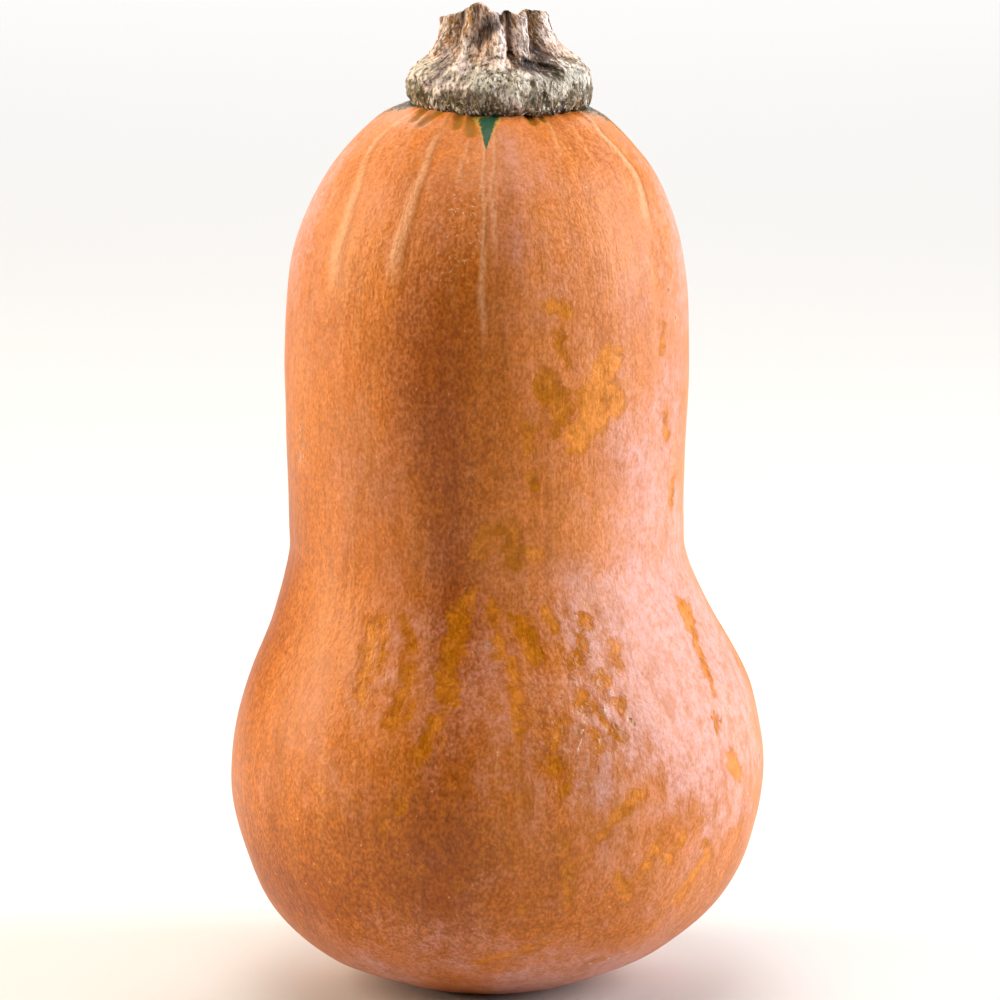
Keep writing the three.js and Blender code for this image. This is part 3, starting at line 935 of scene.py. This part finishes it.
def paint_grain(f, mottle, fine, bloom_and_sheen, rubbed):
    """A golden and brown grain over all of it, faintest where the bloom is thick."""
    strength = f.less(f.sum(f.product(f.field("painted_shade"), 0.7), 0.65), f.product(bloom_and_sheen, 0.8))
    strength = f.product(strength, f.step(rubbed, 0, 1, 1, 0.6))
    tones = (
        (mottle, 0.025, (0.88, 0.85, 0.78), (1.12, 1.14, 1.18)),
        (fine, 0.018, (0.76, 0.69, 0.52), (1.22, 1.3, 1.5)),
    )
    for value, relief, dark, light in tones:
        tone = f.mix(f.step(value, 0.3, 0.7), dark, light)
        f.colour = f.stretch(f.colour, f.mix(strength, (1, 1, 1), tone))
        f.roughen(value, 0.25, relief)


def paint_veins_and_scars(f, fine):
    """Pale veins with painted shade in the groove beside them, dark scars with a pale rim, and pale edges
    that have healed.
    """
    # Painted shade in the groove beside each vein.
    f.paint(f.field("vein_groove_shade"), (0.4, 0.12, 0.012), 0.7)
    f.paint(f.field("vein_pale"), (0.93, 0.52, 0.29), f.step(fine, 0.25, 0.6, 0.286, 0.52))
    f.paint(f.step(f.field("scar"), -0.5, -0.15, 0, 0.3), (0.85, 0.5, 0.32))
    scar = f.step(f.ragged("scar", fine, 0.3, 0.15), -0.1, 0.12)
    f.paint(scar, (0.2, 0.06, 0.025), f.step(fine, 0.3, 0.65, 1, 0.5), rise=-0.1)
    healed = f.step(f.ragged("healed", fine, 0.3, 0.1), -0.1, 0.14)
    f.paint(healed, (0.96, 0.74, 0.6), 0.75, rise=0.06)


def paint_stem_end(f, place, mottle, fine):
    """Ochre creases under the stem, and the green that ripening left there, near black with painted shade by
    the collar.
    """
    f.paint(f.step(f.ragged("crease", mottle, 0.3, 0.3), -0.6, 0.3, 0, 0.9), (0.36, 0.15, 0.008))
    tip = f.ragged("green_tip", fine, 0.3, 0.12)
    f.paint(f.step(tip, -0.2, 0.1, 0, 0.6), (0.6, 0.42, 0.08))
    f.paint(f.step(tip, 0.1, 0.4), (0.02, 0.09, 0.045))
    top = f.ragged("green_and_shade_at_collar", f.noise(place, 0.9, 3, 0.65), 0.25, 0.45)
    f.paint(f.step(top, -0.35, 0.1, 0, 0.5), (0.4, 0.22, 0.03))
    # The rind's green, near black with painted shade next to the collar.
    f.paint(f.step(top, 0.05, 0.35), (0.03, 0.045, 0.022))
    f.paint(f.product(f.step(top, -0.1, 0.2), f.step(fine, 0.58, 0.7)), (0.7, 0.6, 0.5))


def paint_blossom_end(f, place, mottle):
    """Pale underneath, round the dark scar of the blossom."""
    f.paint(f.step(f.field("blossom"), 0.1, 0.6, 0, 0.6), (0.78, 0.42, 0.17))
    scab = f.mix(f.step(f.noise(place, 1, 3, 0.6), 0.3, 0.7), (0.14, 0.075, 0.04), (0.34, 0.21, 0.12))
    f.paint(f.step(f.ragged("blossom", mottle, 0.3, 0.02), 0.92, 0.98), scab)


def rind_finish():
    f = Finish("rind")
    f.shader.inputs["IOR"].default_value = 1.42
    f.shader.inputs["Specular IOR Level"].default_value = 0.36
    place = f.place()
    mottle = f.noise(place, 1.4, 3, 0.6, along=0.75)
    fine = f.noise(place, 0.48, along=0.75)

    paint_ripe_rind(f, place)
    bloom_and_sheen = paint_bloom_and_sheen(f, place, mottle, fine)
    paint_speckles(f, place)
    rubbed = paint_rubbed(f, place, fine)
    paint_pits(f, place)
    paint_grain(f, mottle, fine, bloom_and_sheen, rubbed)
    paint_veins_and_scars(f, fine)
    paint_stem_end(f, place, mottle, fine)
    paint_blossom_end(f, place, mottle)
    roughness = f.sum(f.step(bloom_and_sheen, 0, 0.6, 0.4, 0.52), f.swing(fine, 0.3, 0.05))
    return f.finish(f.less(roughness, f.product(rubbed, 0.06)))


def paint_stem(f, low, strands, blotches):
    """The stalk is tan and the collar silvery, with a painted highlight on the ridges and painted shade in
    the hollows.
    """
    stalk = f.mix(f.step(strands, 0.35, 0.65), (0.48, 0.25, 0.13), (0.92, 0.66, 0.53))
    stalk = f.mix(f.step(blotches, 0.52, 0.66, 0, 0.6), stalk, (0.4, 0.29, 0.28))
    stalk = f.mix(f.step(blotches, 0.42, 0.32, 0, 0.6), stalk, (0.55, 0.25, 0.08))
    collar = f.mix(f.step(blotches, 0.4, 0.62), (0.74, 0.6, 0.5), (0.66, 0.62, 0.52))
    collar = f.mix(f.step(strands, 0.5, 0.3, 0, 0.7), collar, (0.3, 0.24, 0.16))
    f.colour = f.mix(f.step(low, 0.36, 0.5), collar, stalk)
    # Painted highlight, pale, on the ridges.
    f.paint(f.step(f.field("ribs"), 0.3, 0.9, 0, 0.5), (0.9, 0.72, 0.62))
    # Painted shade, dark brown, in the hollows.
    f.paint(f.step(f.field("ribs"), -0.3, -0.9, 0, 0.6), (0.17, 0.085, 0.05))


def paint_crumbs(f, place, grain, low, specks, shaded):
    """Crumbs and flecks, pale, rusty and black, fewer of them pale where the stem is shaded. Low places get
    painted shade and high ones painted light.
    """
    fibres = f.noise(grain, 0.5, 3, 0.6, along=0.4)
    f.colour = f.scale(f.colour, f.step(fibres, 0.32, 0.68, 0.45, 1.45))
    f.roughen(fibres, 0.25, 0.1)
    chips = f.noise(grain, 1.05, 2, 0.6, along=0.4)
    f.paint(f.step(chips, 0.42, 0.34, 0, 0.6), (0.13, 0.065, 0.03))
    f.paint(f.step(chips, 0.57, 0.66, 0, 0.6), (0.92, 0.8, 0.72), f.step(shaded, 0, 1, 1, 0.25))
    f.roughen(chips, 0.3, 0.12)
    f.paint(f.step(specks, 0.46, 0.34, 0, 0.85), (0.07, 0.035, 0.015))
    f.paint(f.step(specks, 0.54, 0.66, 0, 0.8), (0.95, 0.86, 0.78), f.step(shaded, 0, 1, 1, 0.4))
    f.roughen(specks, 0.25, 0.07)
    f.paint(f.dots(place, 1.1, -0.15, 0.24, 0.08), (0.2, 0.07, 0.015), 0.8)
    # Painted shade in the stem's low places and painted light on its high ones.
    f.colour = f.scale(f.colour, f.step(f.field("relief"), -0.9, 0.4, 0.65, 1.08))
    crumbs = f.product(f.step(low, 0.15, 0.04), f.step(f.noise(place, 0.65, 2, 0.6), 0.54, 0.63))
    f.paint(crumbs, (0.9, 0.84, 0.72), 0.8)


def cork_finish():
    f = Finish("cork")
    f.shader.inputs["IOR"].default_value = 1.4
    place = f.place()
    grain = f.field("grain", vector=True)
    strands = f.noise(grain, 1.3, 4, 0.65, 0.3, along=0.35)
    blotches = f.noise(place, 2.4, 4, 0.6, 0.5)
    specks = f.noise(grain, 0.42, 2, 0.7, along=0.6)
    low = f.ragged("height", strands, 0.3, 0.05)

    paint_stem(f, low, strands, blotches)
    where = {name: f.step(f.ragged(name, strands, 0.25, 0.55), -0.45, 0.3) for name in STEM_COLOURS}
    for name, (strength, tint, _) in STEM_COLOURS.items():
        f.paint(where[name], tint, strength)

    # The collar's underside is olive, darkened as painted shade, and painted near black where it meets the
    # fruit, as painted shade. The cut end is dry pale fibres.
    underside_shade = f.step(f.ragged("underside_shade", strands, 0.25, 0.55), 0, 0.9)
    # Painted shade, dark olive, on the collar's underside.
    f.paint(underside_shade, (0.14, 0.1, 0.035), 0.8)
    # Painted shade, near black, along the collar's foot where it meets the fruit.
    f.paint(f.step(low, 0.05, 0), (0.025, 0.02, 0.012))
    f.paint(f.field("cut"), f.mix(f.step(specks, 0.4, 0.6), (0.2, 0.11, 0.06), (0.42, 0.27, 0.15)))

    shaded = f.most(underside_shade, f.most(where["purple_shade"], where["crevice_shade"]))
    paint_crumbs(f, place, grain, low, specks, shaded)
    f.roughen(strands, 0.25, 0.12)
    return f.finish(f.step(specks, 0.3, 0.7, 0.78, 0.92))


def floor_finish():
    """Pale and matt, and clear from underneath so that the blossom end can be looked at."""
    f = Finish("floor")
    f.shader.inputs["Base Color"].default_value = (0.72, 0.72, 0.72, 1)
    f.shader.inputs["Roughness"].default_value = 0.9
    clear = f.node("BsdfTransparent")
    below = f.node("NewGeometry", output="Backfacing")
    seen = f.node("MixShader", {0: below, 1: f.shader.outputs[0], 2: clear})
    f.put(seen, f.tree.nodes["Material Output"].inputs["Surface"])
    return f.material


# ------------ camera and stage
MIDDLE = Vector((0.35, 0, 75.2)) * MM  # what the camera looks at
CAMERA_ELEVATION = 11
CAMERA_DISTANCE = 1.2  # metres
CAMERA_LENS = 282.7  # millimetres, before a sensor 36 wide
FLOOR_REACH = 4  # metres from its middle to each side
SOFTBOX_DISTANCE = 0.75  # metres


def away(azimuth, elevation, distance):
    """A place that far from the squash's middle, in metres."""
    a, e = math.radians(azimuth), math.radians(elevation)
    direction = Vector((math.sin(a) * math.cos(e), -math.cos(a) * math.cos(e), math.sin(e)))
    return MIDDLE + direction * distance


def put_looking_at(thing, place, aim):
    thing.location = place
    thing.rotation_euler = (aim - place).to_track_quat("-Z", "Y").to_euler()
    bpy.context.scene.collection.objects.link(thing)


def make_camera():
    data = bpy.data.cameras.new("camera")
    data.sensor_width = 36
    data.lens = CAMERA_LENS
    data.clip_end = 30
    camera = bpy.data.objects.new("camera", data)
    put_looking_at(camera, away(0, CAMERA_ELEVATION, CAMERA_DISTANCE), MIDDLE)
    bpy.context.scene.camera = camera


def softbox(name, place, aim, width, height, power, colour):
    """A rectangular light. Its place, aim and size are in metres, and its power is in watts."""
    data = bpy.data.lights.new(name, "AREA")
    data.shape = "RECTANGLE"
    data.size = width
    data.size_y = height
    data.energy = power
    data.color = colour
    light = bpy.data.objects.new(name, data)
    light.visible_camera = False
    put_looking_at(light, place, aim)


def make_stage():
    mesh = bpy.data.meshes.new("floor")
    corners = [(x * FLOOR_REACH, y * FLOOR_REACH, 0) for x, y in ((-1, -1), (1, -1), (1, 1), (-1, 1))]
    mesh.from_pydata(corners, [], [(0, 1, 2, 3)])
    mesh.materials.append(floor_finish())
    floor = bpy.data.objects.new("floor", mesh)
    bpy.context.scene.collection.objects.link(floor)

    # A warm light on the left and a cooler one on the right leave the front in soft shade. The one at the
    # back is for the floor.
    softbox("left_softbox", away(-95, 22, SOFTBOX_DISTANCE), MIDDLE, 0.4, 0.6, 6, (1, 0.88, 0.68))
    softbox("right_softbox", away(90, 20, SOFTBOX_DISTANCE), MIDDLE, 0.35, 0.6, 7, (0.95, 0.97, 1))
    softbox("top_softbox", away(-20, 82, SOFTBOX_DISTANCE), MIDDLE, 0.45, 0.6, 3.9, (1, 0.9, 0.8))
    softbox("back_softbox", Vector((0, 1.6, 1.2)), Vector((0, 1, 0)), 2.4, 1, 34, (1, 1, 1))
    world = bpy.data.worlds.new("studio")
    world.use_nodes = True
    background = world.node_tree.nodes["Background"]
    background.inputs["Color"].default_value = (1, 1, 1, 1)
    background.inputs["Strength"].default_value = 0.02
    bpy.context.scene.world = world
    bpy.context.scene.view_settings.view_transform = "Standard"


# ------------ assembly
def place_piece(piece, material, node):
    piece.data.materials.append(material)
    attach(piece, "root")
    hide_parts(node)


make_camera()
make_stage()
place_piece(build_fruit(), rind_finish(), "fruit")
place_piece(build_stem(), cork_finish(), "stem")
